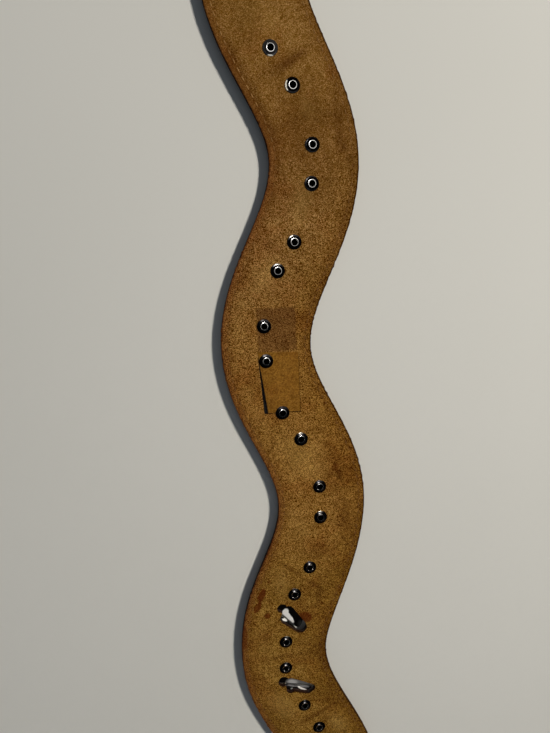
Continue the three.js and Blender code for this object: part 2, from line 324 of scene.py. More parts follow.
def softened(bm, geom, offset, segments, affect="EDGES"):
    bmesh.ops.bevel(
        bm, geom=geom, offset=offset, offset_type="OFFSET", segments=segments,
        profile=0.5, affect=affect, material=-1,
    )


def spun(profile, steps):
    """A closed solid of revolution round Z from pairs of radius and height."""
    bm = bmesh.new()
    verts = [bm.verts.new((radius, 0, height)) for radius, height in profile]
    edges = [bm.edges.new(pair) for pair in zip(verts, verts[1:])]
    if profile[0][0] > 0:
        edges.append(bm.edges.new((verts[-1], verts[0])))
    bmesh.ops.spin(
        bm, geom=verts + edges, cent=(0, 0, 0), axis=UP, angle=2 * math.pi,
        steps=steps, use_merge=True,
    )
    return merged(bm)


def added(bm, other):
    """Puts the other bmesh's shapes into bm as well."""
    mesh = bpy.data.meshes.new("loose")
    other.to_mesh(mesh)
    other.free()
    bm.from_mesh(mesh)
    bpy.data.meshes.remove(mesh)


def linked(name, data):
    obj = bpy.data.objects.new(name, data)
    scene.collection.objects.link(obj)
    return obj


def object_of(name, bm):
    """An object that takes over a bmesh's shape."""
    mesh = bpy.data.meshes.new(name)
    bm.to_mesh(mesh)
    bm.free()
    return linked(name, mesh)


def carved(bm, tool, operation="DIFFERENCE"):
    """A bmesh with a tool's shape cut from it, or joined to it."""
    objects = [object_of("carving", shape) for shape in (bm, tool)]
    modifier = objects[0].modifiers.new("carve", "BOOLEAN")
    modifier.object = objects[1]
    modifier.operation = operation
    modifier.solver = "EXACT"
    result = bmesh.new()
    result.from_object(objects[0], bpy.context.evaluated_depsgraph_get())
    for mesh in [obj.data for obj in objects]:
        bpy.data.meshes.remove(mesh)
    return result


def finished(name, bm, material, nodes=()):
    """The shape made a piece of the belt, in metres, standing for its CAD nodes."""
    bmesh.ops.scale(bm, vec=(MM, MM, MM), verts=bm.verts)
    piece = object_of(name, bm)
    piece.data.shade_smooth()
    piece.data.set_sharp_from_angle(angle=math.radians(35))
    piece.data.materials.append(material)
    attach(piece, "root")
    if nodes:
        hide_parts(*nodes)
    return piece


# Shader tools
def srgb(red, green, blue):
    """A colour given as it shows on a screen, from 0 to 255, made linear."""
    shares = [value / 255 for value in (red, green, blue)]
    linear = [s / 12.92 if s <= 0.04045 else ((s + 0.055) / 1.055) ** 2.4 for s in shares]
    return (*linear, 1.0)


class Nodes:
    """Adds nodes to a tree. A socket is given a value, or another node's output."""

    def __init__(self, tree):
        self.tree = tree
        self.tree.nodes.clear()

    def add(self, kind, sockets=None, out=0, **settings):
        node = self.tree.nodes.new(kind)
        for name, value in settings.items():
            setattr(node, name, value)
        for name, value in (sockets or {}).items():
            if isinstance(value, bpy.types.NodeSocket):
                self.tree.links.new(value, node.inputs[name])
            else:
                node.inputs[name].default_value = value
        return node.outputs[out] if out is not None else node

    def math(self, operation, first, second=0.0, clamp=False):
        sockets = {0: first, 1: second}
        return self.add("ShaderNodeMath", sockets, operation=operation, use_clamp=clamp)

    def plus(self, first, second, clamp=False):
        return self.math("ADD", first, second, clamp)

    def minus(self, first, second):
        return self.math("SUBTRACT", first, second)

    def times(self, first, second):
        return self.math("MULTIPLY", first, second)

    def vector(self, operation, first, second=(0.0, 0.0, 0.0)):
        return self.add("ShaderNodeVectorMath", {0: first, 1: second}, operation=operation)

    def range(self, value, low, high, to_low=0.0, to_high=1.0):
        sockets = {0: value, 1: low, 2: high, 3: to_low, 4: to_high}
        return self.add("ShaderNodeMapRange", sockets, interpolation_type="SMOOTHSTEP")

    def noise(self, place, scale, detail=2.0, roughness=0.5, distortion=0.0):
        sockets = {"Vector": place, "Scale": scale, "Detail": detail}
        sockets.update({"Roughness": roughness, "Distortion": distortion})
        return self.add("ShaderNodeTexNoise", sockets)

    def mix(self, factor, first, second, blend="MIX"):
        sockets = {0: factor, 6: first, 7: second}
        return self.add("ShaderNodeMix", sockets, out=2, data_type="RGBA", blend_type=blend)

    def blend(self, factor, first, second):
        sockets = {0: factor, 2: first, 3: second}
        return self.add("ShaderNodeMix", sockets, data_type="FLOAT")

    def split(self, vector):
        return self.add("ShaderNodeSeparateXYZ", {0: vector}, out=None).outputs[:]


class Coat(Nodes):
    """A material's nodes, with its place in millimetres and the colour it has so far."""

    def __init__(self, name):
        self.material = bpy.data.materials.new(name)
        self.material.use_nodes = True
        super().__init__(self.material.node_tree)
        sockets = {0: self.add("ShaderNodeTexCoord", out=3), "Scale": 1 / MM}
        self.place = self.add("ShaderNodeVectorMath", sockets, operation="SCALE")
        self.x, self.y, self.z = self.split(self.place)
        # How far a face looks up or down, from the height of its normal
        self.up = self.split(self.add("ShaderNodeNewGeometry", out=1))[2]
        # A mask of 1 on upright walls, where leather was cut through
        self.wall = self.range(self.math("ABSOLUTE", self.up), 0.35, 0.75, 1.0, 0.0)

    def lay(self, mask, share, tone, blend="MULTIPLY"):
        """Lays a tone over the colour, where the mask is and as strongly as its share."""
        self.colour = self.mix(self.times(mask, share), self.colour, tone, blend)

    def cover(self, mask, tone):
        self.colour = self.mix(mask, self.colour, tone)

    def finish(self, roughness, height=None, depth=0.0, specular=0.5, metallic=0.0, **more):
        """Ends in a Principled shader, with an optional bump, and gives the material."""
        sockets = {"Base Color": self.colour, "Roughness": roughness, "Metallic": metallic}
        sockets["Specular IOR Level"] = specular
        for name, value in more.items():
            sockets[name.replace("_", " ").title()] = value
        if height is not None:
            bump = {"Height": height, "Distance": depth * MM, "Strength": 1.0}
            sockets["Normal"] = self.add("ShaderNodeBump", bump)
        shader = self.add("ShaderNodeBsdfPrincipled", sockets)
        self.add("ShaderNodeOutputMaterial", {"Surface": shader}, out=None)
        return self.material


class Effect:
    """A shader group that materials share. Called with its inputs after Place, it gives its outputs."""

    def __init__(self, name, inputs, outputs, wire):
        self.inputs = inputs.split()
        self.tree = bpy.data.node_groups.new(name, "ShaderNodeTree")
        for socket in self.inputs:
            kind = "NodeSocketVector" if socket in ("Place", "Centre") else "NodeSocketFloat"
            self.tree.interface.new_socket(name=socket, in_out="INPUT", socket_type=kind)
        for socket in outputs.split():
            self.tree.interface.new_socket(name=socket, in_out="OUTPUT", socket_type="NodeSocketFloat")
        nodes = Nodes(self.tree)
        given = nodes.add("NodeGroupInput", out=None).outputs[: len(self.inputs)]
        results = dict(zip(outputs.split(), wire(nodes, *given)))
        nodes.add("NodeGroupOutput", results, out=None)

    def __call__(self, coat, *values, place=None):
        sockets = dict(zip(self.inputs, (place or coat.place, *values)))
        outputs = coat.add("ShaderNodeGroup", sockets, out=None, node_tree=self.tree).outputs
        return outputs[0] if len(outputs) == 1 else outputs[:]


def wander(nodes, place, ragged, scale, detail, roughness):
    """How far a ragged border strays to either side."""
    rough = nodes.minus(nodes.noise(place, scale, detail, roughness), 0.5)
    return nodes.times(rough, ragged)


def nap_nodes(nodes, place, fine_size, curl_size, contrast):
    """Brushed leather fibres: light curls and fine flecks over a darker ground."""
    fine = nodes.noise(place, nodes.math("DIVIDE", 1.0, fine_size), 2.0, 0.6, 0.3)
    curl = nodes.noise(place, nodes.math("DIVIDE", 1.0, curl_size), 1.0, 0.5, 1.6)
    # The curls are the narrow bands where the broad noise passes its middle value
    off_middle = nodes.math("ABSOLUTE", nodes.minus(curl, 0.5))
    strand = nodes.range(off_middle, 0.0, 0.11, 1.0, 0.0)
    lift = nodes.minus(strand, 0.42)
    grit = nodes.times(nodes.minus(fine, 0.5), 3.1)
    both = nodes.plus(nodes.times(lift, 0.7), grit)
    fleck = nodes.plus(nodes.times(both, contrast), 0.5, clamp=True)
    height = nodes.plus(nodes.times(both, 0.5), 0.5, clamp=True)
    return fleck, height


def mottle_nodes(nodes, place, size, low, high):
    """Broad soft patches, from none where the noise is low to whole where it is high."""
    patches = nodes.noise(place, nodes.math("DIVIDE", 1.0, size), 4.0, 0.55, 0.5)
    return [nodes.range(patches, low, high)]


def edge_band_nodes(nodes, place, distance, width, ragged):
    """A band along an edge, for wear, edge colour or painted shade, with a ragged inner border."""
    strayed = nodes.plus(distance, wander(nodes, place, ragged, 0.35, 4.0, 0.7))
    share = nodes.math("DIVIDE", strayed, width)
    return [nodes.range(share, 0.35, 1.0, 1.0, 0.0)]


def spot_nodes(nodes, place, centre, length, width, turn, ragged, soft):
    """An oval mark with a ragged border, for a stain, painted shade or a painted highlight, which is
    soft where that value is large.
    """
    sockets = {"Vector": nodes.vector("SUBTRACT", place, centre), "Axis": UP, "Angle": turn}
    turned = nodes.add("ShaderNodeVectorRotate", sockets, rotation_type="AXIS_ANGLE")
    x, y, _ = nodes.split(turned)
    x_square = nodes.math("POWER", nodes.math("DIVIDE", x, length), 2.0)
    y_square = nodes.math("POWER", nodes.math("DIVIDE", y, width), 2.0)
    reach = nodes.math("SQRT", nodes.plus(x_square, y_square))
    reach = nodes.plus(reach, wander(nodes, place, ragged, 0.45, 3.0, 0.65))
    return [nodes.range(reach, nodes.minus(1.0, soft), 1.0, 1.0, 0.0)]


def tarnish_nodes(nodes, place, size, cover):
    """Dull cloudy patches and small pits on metal."""
    scale = nodes.math("DIVIDE", 1.0, size)
    clouds = nodes.noise(place, scale, 5.0, 0.65, 0.3)
    start = nodes.minus(0.75, nodes.times(cover, 0.5))
    mask = nodes.range(clouds, start, nodes.plus(start, 0.25))
    pits = nodes.noise(place, nodes.times(scale, 6.0), 3.0, 0.6)
    return mask, pits


NAP = Effect("nap", "Place Fine Curl Contrast", "Fleck Height", nap_nodes)
MOTTLE = Effect("mottle", "Place Size Low High", "Mask", mottle_nodes)
EDGE_BAND = Effect("edge band", "Place Distance Width Ragged", "Mask", edge_band_nodes)
SPOT = Effect("spot", "Place Centre Length Width Turn Ragged Soft", "Mask", spot_nodes)
TARNISH = Effect("tarnish", "Place Size Cover", "Mask Height", tarnish_nodes)


def oval(coat, shape, ragged, soft):
    """The mask of a spot whose shape is x, y, half length, half width and turn in degrees."""
    x, y, length, width, turn = shape
    return SPOT(coat, (x, y, 0.0), length, width, math.radians(-turn), ragged, soft)


# Stains on the suede, rows of x, y, half length, half width, turn in degrees, raggedness and depth
STAINS = [
    (-2.2, -261.6, 4.9, 3.9, -35, 0.6, 0.92),
    (-27.8, -243.5, 5.5, 2.4, 70, 0.8, 0.95),
    (-30.5, -251, 4.5, 2.2, 60, 0.8, 0.9),
    (-25, -257.2, 2.4, 2.2, 0, 0.8, 0.9),
    (-23.1, -235.4, 1.6, 1.3, 0, 1, 0.5),
    (-16.2, -239.6, 1.3, 1, 0, 1, 0.5),
    (-21.5, -209, 15, 2.3, 76, 1.2, 0.7),
    (-39.3, -269, 11, 2, 88, 1.2, 0.7),
    (17.9, -169.2, 3.2, 2.2, 30, 1.2, 0.35),
]
# Painted shade: places where the nap is darkened, along creases and in broad patches, rows of x, y, half
# length, half width, turn, depth
PAINTED_SHADE_PLACES = [
    (1.5, 43.4, 16, 3.6, 33, 0.6),
    (-3.5, 41.9, 22, 6, 31, 0.4),
    (-26.6, 39.5, 19, 7.5, -63, 0.55),
    (5, 6, 40, 30, -89, 0.5),
    (-15.5, 18, 26, 7, -63, 0.5),
    (24, 14, 26, 7, -80, 0.5),
    (12, -288, 24, 13, -75, 0.5),
    (7.8, -219.4, 12, 9, 0, 0.35),
    (-27, -272, 12, 6, -80, 0.35),
    (-14.9, -44.1, 10.5, 4.6, -37, 0.45),
    (-3.9, -53.7, 12, 2.6, -51, 0.4),
    (26.3, 2.5, 12, 4, -63, 0.35),
    (19.4, -171.9, 11.5, 3, -70, 0.75),
    (-11.2, -228.2, 12.5, 2.2, -41, 0.6),
    (4.5, -241.9, 13, 2.6, -40, 0.6),
    (6.3, -249, 7.5, 4.6, -73, 0.55),
    (-18.5, -285.8, 22, 2.3, -3, 0.5),
    (3.1, -329.6, 21, 2.6, 25, 0.8),
    (22.6, -203.1, 24, 8, -82, 0.6),
    (-2, -24, 22, 10, 20, 0.3),
    (0, -286, 12, 9, -60, 0.35),
    (11.9, -281.6, 20, 8, -89, 0.6),
    (-9.8, -262, 11.5, 6.8, -50, 0.6),
    (-8.5, -306.8, 13, 6.6, -22, 0.6),
]
# Painted light: places where the nap is lightened, rows as above
PAINTED_LIGHT_PLACES = [
    (-11.5, 59.8, 19, 12, -33, 0.28),
    (7.8, 21.1, 10, 6, -62, 0.35),
    (3.2, -23.8, 20, 9, 80, 0.6),
    (-17.5, -59.2, 15, 8.5, 54, 0.5),
    (-15.9, -238.2, 17, 7.5, -86, 0.5),
    (-18.5, -320, 18, 10, -50, 0.8),
    (16.1, -339.7, 13, 8, -55, 0.8),
    (-2.5, -160.2, 27, 15, -56, 0.65),
    (-5.2, -200.5, 20, 9, -72, 0.3),
    (-28, -276.7, 6, 5, -77, 0.3),
    (-24, -135, 14, 8, -60, 0.3),
]


def nap_colour(coat, fleck):
    """The nap's own colours, from its dark ground to its light fibres."""
    ramp = coat.add("ShaderNodeValToRGB", {0: fleck}, out=None)
    stops = ramp.color_ramp.elements
    stops[0].position = 0.05
    stops[0].color = srgb(91, 51, 2)
    stops[1].position = 0.95
    stops[1].color = srgb(204, 160, 102)
    middle = stops.new(0.5)
    middle.color = srgb(142, 99, 36)
    return ramp.outputs[0]


def lay_mottles(coat, left, right):
    """Broad patches of the suede's colour, its changes along and across the belt, and painted shade
    along both edges.
    """
    coat.lay(coat.range(coat.y, 10.0, -140.0), 1.0, srgb(253, 244, 200))
    coat.lay(coat.range(coat.y, -190.0, -250.0), 1.0, srgb(243, 248, 232))
    coat.lay(MOTTLE(coat, 5.0, 0.35, 0.65), 0.2, srgb(208, 190, 150))
    gathered = coat.range(MOTTLE(coat, 16.0, 0.4, 0.62), 0.0, 1.0, 0.15, 0.6)
    specks = coat.range(coat.noise(coat.place, 1.3, 2.0, 0.55), 0.54, 0.68)
    coat.lay(specks, gathered, srgb(190, 150, 100))
    coat.lay(MOTTLE(coat, 23.0, 0.45, 0.66), 0.5, srgb(200, 190, 150))
    shifted = coat.vector("ADD", coat.place, (71.0, 13.0, 0.0))
    coat.lay(MOTTLE(coat, 19.0, 0.45, 0.7, place=shifted), 0.5, srgb(226, 190, 165))
    # Painted shade: a darker band along both edges
    nearest = coat.math("MINIMUM", left, right)
    coat.lay(EDGE_BAND(coat, nearest, 8.0, 7.0), 0.4, srgb(190, 165, 130))
    right_share = coat.range(coat.y, 20.0, -40.0, 0.0, 0.6)
    coat.lay(EDGE_BAND(coat, right, 20.0, 8.0), right_share, srgb(237, 230, 200))


def lay_edges(coat, fleck, left, right):
    """Reddish wear along the left edge, stronger towards the tail, and a dark line on the right."""
    redness = coat.range(coat.y, 60.0, -60.0, 0.5, 1.0)
    rust = coat.mix(fleck, srgb(84, 40, 6), srgb(158, 100, 50))
    coat.lay(EDGE_BAND(coat, left, 4.6, 3.5), coat.times(redness, 0.5), rust, "MIX")
    red = coat.mix(fleck, srgb(66, 27, 5), srgb(130, 72, 36))
    coat.lay(EDGE_BAND(coat, left, 1.4, 1.8), coat.times(redness, 0.65), red, "MIX")
    coat.lay(EDGE_BAND(coat, right, 1.3, 0.9), 0.85, srgb(48, 26, 8), "MIX")


def label_place(coat):
    """A mask of the square that a glued label has left, fading inwards from its sides."""
    off_centre = coat.vector("SUBTRACT", coat.place, (-12.3, -88.7, 0.0))
    inside = coat.vector("SUBTRACT", (11.0, 12.2, 0.0), coat.vector("ABSOLUTE", off_centre))
    x, y, _ = coat.split(inside)
    depth = coat.plus(coat.math("MINIMUM", x, y), wander(coat, coat.place, 2.5, 0.5, 3.0, 0.7))
    return coat.range(depth, 0.0, 1.2)


def suede_material():
    """The lining: mottled tan nap with painted shade and painted light, dark reddish edges, stains, and
    what a glued label left.
    """
    coat = Coat("suede_lining")
    left, right, _ = coat.split(coat.add("ShaderNodeAttribute", out=1, attribute_name="edges"))
    label = label_place(coat)
    # The nap stands up more in the lower half, and lies smoother near the top and on the label's place
    contrast = coat.range(coat.y, 15.0, -115.0, 0.55, 2.7)
    contrast = coat.times(contrast, coat.range(coat.y, -180.0, -260.0, 1.0, 0.8))
    contrast = coat.times(contrast, coat.range(label, 0.0, 1.0, 1.0, 0.8))
    fleck, height = NAP(coat, 0.5, 1.15, contrast)
    coat.colour = nap_colour(coat, fleck)
    lay_mottles(coat, left, right)
    # Painted shade on the nap, then painted light
    for *shape, depth in PAINTED_SHADE_PLACES:
        coat.lay(oval(coat, shape, 0.8, 1.0), depth, srgb(170, 140, 96))
    for *shape, depth in PAINTED_LIGHT_PLACES:
        coat.lay(oval(coat, shape, 0.8, 1.0), depth, srgb(104, 86, 46), "ADD")
    lay_edges(coat, fleck, left, right)
    coat.lay(label, 0.7, coat.mix(fleck, srgb(64, 32, 6), srgb(132, 88, 46)), "MIX")
    stained = coat.mix(fleck, srgb(74, 28, 4), srgb(112, 54, 13))
    for *shape, ragged, depth in STAINS:
        coat.lay(oval(coat, shape, ragged, 0.35), depth, stained, "MIX")
    coat.cover(coat.wall, srgb(46, 24, 10))
    sheen = srgb(160, 110, 50)
    return coat.finish(0.95, height, 0.3, specular=0.03, sheen_weight=0.12, sheen_tint=sheen)


def patch_material():
    """The smooth patch: golden brown, faintly speckled."""
    coat = Coat("smooth_patch")
    fleck, height = NAP(coat, 0.7, 2.0, 0.65)
    coat.colour = coat.mix(fleck, srgb(102, 61, 6), srgb(160, 112, 39))
    coat.lay(MOTTLE(coat, 14.0, 0.4, 0.7), 0.4, srgb(226, 190, 150))
    coat.cover(coat.wall, srgb(46, 24, 10))
    return coat.finish(0.8, height, 0.06, specular=0.1)


def front_material():
    """The front ply: smooth pebbled leather with painted shade in the crevices between its pebbles, dark
    where it was cut, and painted near black on its face towards the lining as shade.
    """
    coat = Coat("waxed_leather")
    pebbles = {"Vector": coat.place, "Scale": 1 / 1.1, "Randomness": 1.0}
    crease = coat.add("ShaderNodeTexVoronoi", pebbles, feature="DISTANCE_TO_EDGE")
    height = coat.range(crease, 0.0, 0.25)
    wear_or_painted_light = MOTTLE(coat, 25.0, 0.4, 0.7)
    coat.colour = coat.mix(wear_or_painted_light, srgb(88, 50, 26), srgb(108, 64, 34))
    # The crevices between the pebbles are darkened: painted shade
    coat.lay(coat.minus(1.0, height), 0.5, srgb(48, 26, 14), "MIX")
    coat.cover(coat.wall, srgb(44, 22, 10))
    # Its face towards the lining is painted near black: painted shade, for the gap beside the patch
    # where it shows
    inner = coat.range(coat.z, FRONT_HIGH - 0.2, FRONT_HIGH - 0.05)
    coat.cover(inner, srgb(16, 10, 6))
    matt = coat.math("MAXIMUM", inner, coat.wall)
    roughness = coat.blend(matt, coat.range(wear_or_painted_light, 0.0, 1.0, 0.5, 0.38), 0.95)
    return coat.finish(roughness, height, 0.05, specular=0.3)


def thread_material():
    """Tan sewing thread, browner with dirt towards the tail, and darker on the belt's right side as
    painted shade.
    """
    coat = Coat("tan_thread")
    # Clean towards the head, and unshaded on the left: the right side's darkening is painted shade
    clean_and_unshaded = coat.times(coat.range(coat.y, -12.0, 34.0), coat.range(coat.x, -2.0, 8.0, 1.0, 0.45))
    coat.colour = coat.mix(clean_and_unshaded, srgb(112, 74, 30), srgb(204, 156, 92))
    twist = coat.noise(coat.place, 3.0)
    soiled = coat.range(coat.noise(coat.place, 0.05), 0.4, 0.6, 0.3, 0.9)
    coat.lay(coat.range(twist, 0.3, 0.6), soiled, srgb(130, 88, 44), "MIX")
    return coat.finish(0.85, twist, 0.06, specular=0.1)


# How far from its post the middle of a washer's painted highlight or darkened place lies
GLINT_REACH = 3.45
GLINT_HIDING_DARK = (18, 16, 14)
GLINT_BRIGHT = (244, 234, 212)
GLINT_WHITE = (255, 246, 226)
# Washers' brims with painted highlights and reflections, and dark places painted over reflections, rows
# of plate, end, direction in degrees, half length, half width, depth, tone and how matt the place is
PAINTED_BRIM_GLINTS = [
    (7, 0, 90, 9, 9, 0.5, (88, 85, 82), 0.4),
    (7, 0, 268, 1.9, 0.5, 0.8, (244, 238, 224), 0.5),
    (7, 1, 155, 1.2, 0.55, 1, GLINT_WHITE, 1),
    (7, 1, 182, 1.5, 0.8, 1, GLINT_WHITE, 1),
    (7, 1, 211, 1.2, 0.5, 1, GLINT_WHITE, 1),
    (9, 0, 118, 1.7, 0.6, 0.15, GLINT_BRIGHT, 0),
    (9, 1, 90, 2, 0.6, 0.3, GLINT_BRIGHT, 0),
    (10, 0, 100, 2.6, 1.4, 0.85, GLINT_HIDING_DARK, 0),
    (10, 1, 88, 1.8, 0.9, 0.5, GLINT_HIDING_DARK, 0),
    (11, 0, 95, 2.6, 1.4, 0.9, GLINT_HIDING_DARK, 0),
    (11, 1, 90, 1.3, 0.6, 0.35, GLINT_BRIGHT, 0),
    (12, 1, 90, 1.3, 0.6, 0.35, GLINT_BRIGHT, 0),
    (13, 1, 72, 0.8, 0.5, 0.25, GLINT_BRIGHT, 0),
    (14, 0, 74, 1.6, 0.7, 0.5, (244, 234, 200), 0),
    (14, 1, 80, 1, 0.6, 0.5, GLINT_BRIGHT, 0),
    (15, 0, 88, 1, 0.6, 0.6, GLINT_BRIGHT, 0),
]


def gunmetal_material():
    """Glossy dark plating on the washers, greyer in dull cloudy patches, with painted highlights and
    reflections on some brims and dark places painted over reflections on others.
    """
    coat = Coat("gunmetal_plating")
    mask, height = TARNISH(coat, 9.0, 0.45)
    coat.colour = coat.mix(mask, srgb(56, 54, 53), srgb(84, 80, 80))
    matt = 0.0
    # Each row paints a highlight, a reflection or a darkened place on a brim; its matt share lets the
    # window light brighten it like a highlight
    for plate, end, direction, length, width, depth, tone, dull in PAINTED_BRIM_GLINTS:
        outwards = turned_matrix(POSTS[plate][end], math.radians(direction))
        x, y, _ = outwards @ Vector((GLINT_REACH, 0, 0))
        wear_or_painted_light = oval(coat, (x, y, length, width, direction - 90), 0.3, 0.5)
        coat.lay(wear_or_painted_light, depth, srgb(*tone), "MIX")
        if dull:
            matt = coat.math("MAXIMUM", matt, coat.times(wear_or_painted_light, dull))
    roughness = coat.range(mask, 0.0, 1.0, 0.16, 0.24)
    return coat.finish(roughness, height, 0.004, metallic=coat.minus(1.0, matt))


# Painted highlights, painted reflections and painted shade on the plates' backs where the slots show
# them, rows of x, y, half length, half width, turn, tone and softness
PAINTED_SLOT_LIGHTS = [
    (-3.6, -269, 5, 3.2, -60, (24, 22, 18), 0.6),
    (-13.9, -259.2, 3.4, 2.3, 72, (250, 246, 238), 0.3),
    (-12.6, -261, 3, 1.8, -62, (250, 246, 238), 0.3),
    (-11, -263.6, 4.5, 1.7, -62, (250, 246, 238), 0.3),
    (-14, -264.2, 2.4, 0.8, -27, (250, 246, 236), 0.3),
    (-6, -309.2, 9, 3, -21, (104, 102, 100), 0.4),
    (-11.6, -307.2, 5, 3.4, -21, (178, 174, 170), 0.7),
    (-11.9, -311.7, 0.8, 0.7, 0, (170, 170, 164), 0.3),
    (-4.3, -313.8, 5.1, 0.85, -34, (255, 250, 240), 0.3),
]


def between(coat, start, whole, still, end):
    """A mask that rises with height from start to whole, and falls from still to end."""
    return coat.times(coat.range(coat.z, start, whole), coat.range(coat.z, still, end, 1.0, 0.0))


def silver_material():
    """Silver-tone metal: polished fronts and rims, backs painted near black as shade with painted
    highlights and reflections in the slots, and bores painted black as shade.
    """
    coat = Coat("silver_tone")
    mask, height = TARNISH(coat, 6.0, 0.3)
    coat.colour = coat.mix(mask, srgb(222, 218, 212), srgb(188, 182, 174))
    back = between(coat, PLATE_BACK - 2.5, PLATE_BACK - 1.8, PLATE_BACK + 0.25, PLATE_BACK + 0.35)
    back = coat.times(back, coat.range(coat.up, 0.05, 0.3))
    bore = between(coat, PLATE_BACK + 0.3, PLATE_BACK + 0.5, POST_TOP - 0.28, POST_TOP - 0.12)
    # The backs are painted near black as painted shade in the slots, and painted highlights, reflections
    # and shade are laid on them
    back_shade_and_lights = srgb(30, 27, 25)
    wear_or_painted_light = 0.0
    for *shape, tone, soft in PAINTED_SLOT_LIGHTS:
        slot_light_spot = oval(coat, shape, 0.2, soft)
        back_shade_and_lights = coat.mix(slot_light_spot, back_shade_and_lights, srgb(*tone))
        wear_or_painted_light = coat.math("MAXIMUM", wear_or_painted_light, slot_light_spot)
    coat.cover(back, back_shade_and_lights)
    # The bores are painted black: painted shade
    coat.cover(bore, srgb(6, 5, 4))
    roughness = coat.blend(back, coat.range(mask, 0.0, 1.0, 0.1, 0.2), 0.45)
    roughness = coat.blend(bore, roughness, 0.9)
    # The painted light places on the backs are matt, so the window light brightens them
    metallic = coat.minus(1.0, coat.times(back, wear_or_painted_light))
    return coat.finish(roughness, height, 0.003, metallic=metallic)


def floor_material():
    """A plain pale floor, which glows a little away from the belt, as if soft boxes stood there."""
    coat = Coat("pale_floor")
    pale = srgb(226, 223, 215)
    coat.colour = coat.mix(coat.noise(coat.place, 0.004), srgb(218, 215, 206), pale)
    from_middle = coat.add("ShaderNodeVectorMath", {0: coat.place}, out=1, operation="LENGTH")
    glow = coat.range(from_middle, 430.0, 1700.0, 0.0, 0.45)
    return coat.finish(0.7, specular=0.3, emission_color=pale, emission_strength=glow)


SUEDE = suede_material()
SMOOTH_PATCH = patch_material()
WAXED = front_material()
THREAD_TAN = thread_material()
GUNMETAL = gunmetal_material()
SILVER = silver_material()


# The seam's path, and the places of its stitches
def arc(centre, radius, start, end, steps):
    for step in range(steps + 1):
        angle = start + (end - start) * step / steps
        yield centre + Vector((math.cos(angle), math.sin(angle), 0)) * radius


def seam_path():
    """A closed line at the seam's inset, up the right side and down the left."""
    inset = SEAM["inset"]
    sides = {1: [], -1: []}
    for step in range(int((HEAD_START - TAIL_Y) / ROW_STEP)):
        middle, across, _along, half = strap_place(TAIL_Y + ROW_STEP * step)
        for side, points in sides.items():
            points.append(middle + across * side * (half - inset))
    middle, across, _along, half = strap_place(HEAD_START)
    head = []
    for side, start in ((1, 0), (-1, math.pi / 2)):
        corner = middle + across * side * (half - HEAD_CORNER)
        head += arc(corner, HEAD_CORNER - inset, start, start + math.pi / 2, SEAM_STEPS["corner"])
    middle, across, _along, half = strap_place(TAIL_Y)
    turn = math.atan2(across.y, across.x)
    tail = list(arc(middle, half - inset, turn - math.pi, turn, SEAM_STEPS["tail"]))
    return sides[1] + head + sides[-1][::-1] + tail


def seam_stitches():
    """The middle and turn of each stitch, and the holes between them."""
    path = seam_path()
    path.append(path[0])
    lengths = [(second - first).length for first, second in zip(path, path[1:])]
    count = round(sum(lengths) / SEAM["pitch"])
    pitch = sum(lengths) / count
    holes = []
    travelled = 0.0
    target = 0.0
    for first, second, length in zip(path, path[1:], lengths):
        while target < travelled + length and len(holes) < count:
            holes.append(first.lerp(second, (target - travelled) / length))
            target += pitch
        travelled += length
    stitches = []
    for first, second in zip(holes, holes[1:] + holes[:1]):
        stitches.append(((first + second) / 2, math.atan2(second.y - first.y, second.x - first.x)))
    return stitches, holes


STITCHES, SEAM_HOLES = seam_stitches()
hole_tree = kdtree.KDTree(len(SEAM_HOLES))
for number, hole in enumerate(SEAM_HOLES):
    hole_tree.insert(hole, number)
hole_tree.balance()


def stitching(name, height, material):
    """All stitches of one side, as rounded lengths of thread sunk in the leather."""
    bm = bmesh.new()
    chance = random.Random(7)
    size = Matrix.Diagonal((THREAD["half_length"], THREAD["radius"], THREAD["radius"], 1))
    for first in range(0, len(STITCHES), STITCH_BATCH):
        batch = bmesh.new()
        for middle, turn in STITCHES[first : first + STITCH_BATCH]:
            turn += math.radians(chance.uniform(-THREAD["slant"], THREAD["slant"]))
            place = turned_matrix(Vector((middle.x, middle.y, height)), turn) @ size
            bmesh.ops.create_uvsphere(batch, u_segments=7, v_segments=6, radius=1, matrix=place)
        added(bm, batch)
    finished(name, bm, material)


# The two plies of the strap
def strap_columns(half):
    """Places across the strap, from its left edge to its right, for a strap of that half width."""
    inner = half - EDGE_WIDTH
    steps = math.ceil(2 * inner / COLUMN_STEP)
    left = [-half + distance for distance in EDGE_COLUMNS]
    inside = [-inner + 2 * inner * step / steps for step in range(1, steps)]
    return left + inside + [-place for place in reversed(left)]


def strap_rows():
    """Stations along the strap, closer together at its round tail and its corners."""
    radius = strap_place(TAIL_Y)[3]
    quarter = math.pi / 2
    tail = [TAIL_Y - radius * math.cos(quarter * step / TAIL_ROWS) for step in range(1, TAIL_ROWS)]
    length = HEAD_START - TAIL_Y
    steps = round(length / ROW_STEP)
    straight = [TAIL_Y + length * step / steps for step in range(steps)]
    rises = [math.sin(quarter * step / CORNER_ROWS) for step in range(CORNER_ROWS + 1)]
    return tail + straight + [HEAD_START + HEAD_CORNER * rise for rise in rises]


# The strap's half width at y 0, which its columns are laid out for
USUAL_HALF = strap_place(0.0)[3]


def column_reach(place, half):
    """How far from the middle a column lies where the strap has that half width."""
    edge_gap = USUAL_HALF - abs(place)
    if half <= USUAL_HALF - SQUEEZE_FROM:
        return abs(place) * half / USUAL_HALF
    if edge_gap <= EDGE_WIDTH:
        return half - edge_gap
    return abs(place) / (USUAL_HALF - EDGE_WIDTH) * (half - EDGE_WIDTH)


def fray(place, y):
    """How far a column near the edge strays outwards."""
    nearness = max(1 - (USUAL_HALF - abs(place)) / FRAY["depth"], 0)
    spot = Vector((y / FRAY["length"], math.copysign(FRAY["side"], place), 0))
    return FRAY["reach"] * noise.noise(spot) * nearness


